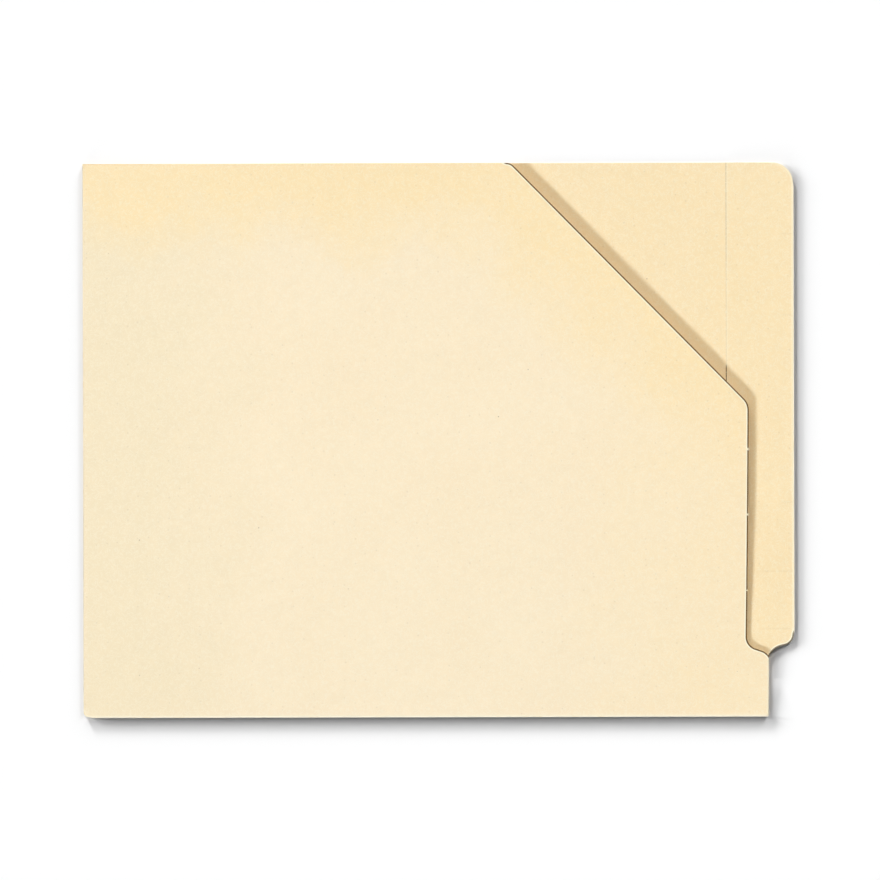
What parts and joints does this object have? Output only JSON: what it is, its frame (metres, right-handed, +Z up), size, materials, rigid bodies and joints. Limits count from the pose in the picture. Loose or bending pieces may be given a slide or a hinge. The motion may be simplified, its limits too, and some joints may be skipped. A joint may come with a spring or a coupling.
{
  "type": "diagonal pocket folder",
  "caption": "Flat manila card file pocket with an end tab, closed at the bottom and left, its front leaf cut away diagonally so papers slide in; the front's free lip bends open.",
  "frame": {"origin": "middle of the footprint on the table, under the back leaf", "axes": "+X along the long side, towards the end tab; +Y towards the open top edge; +Z up from the back leaf to the front leaf"},
  "size_m": [0.3096, 0.2414, 0.0056],
  "materials": {
    "manila_card": "matte, faintly mottled",
    "manila_inside": "matte, faintly mottled",
    "folded_edge": "matte, creased",
    "adhesive": "dried paste film"
  },
  "bodies": {
    "pocket": {"back_panel": "manila_inside", "bottom_fold": "folded_edge", "front_panel": "manila_card", "side_fold": "folded_edge", "side_flap": "manila_inside", "side_glue": "adhesive", "tab_ply": "manila_card", "tab_fold": "folded_edge", "tab_glue": "adhesive"},
    "lip": {"front_lip": "manila_card"}
  },
  "joints": [
    {"name": "mouth_flex", "type": "hinge", "parent": "pocket", "child": "lip", "pos_m": [0.03672, 0.02229, 0.00542], "axis": [0.7022, -0.712, 0], "range_deg": [-3.5, 30], "stiffness_Nm_per_rad": 0.02, "springref_deg": 2.58}
  ]
}
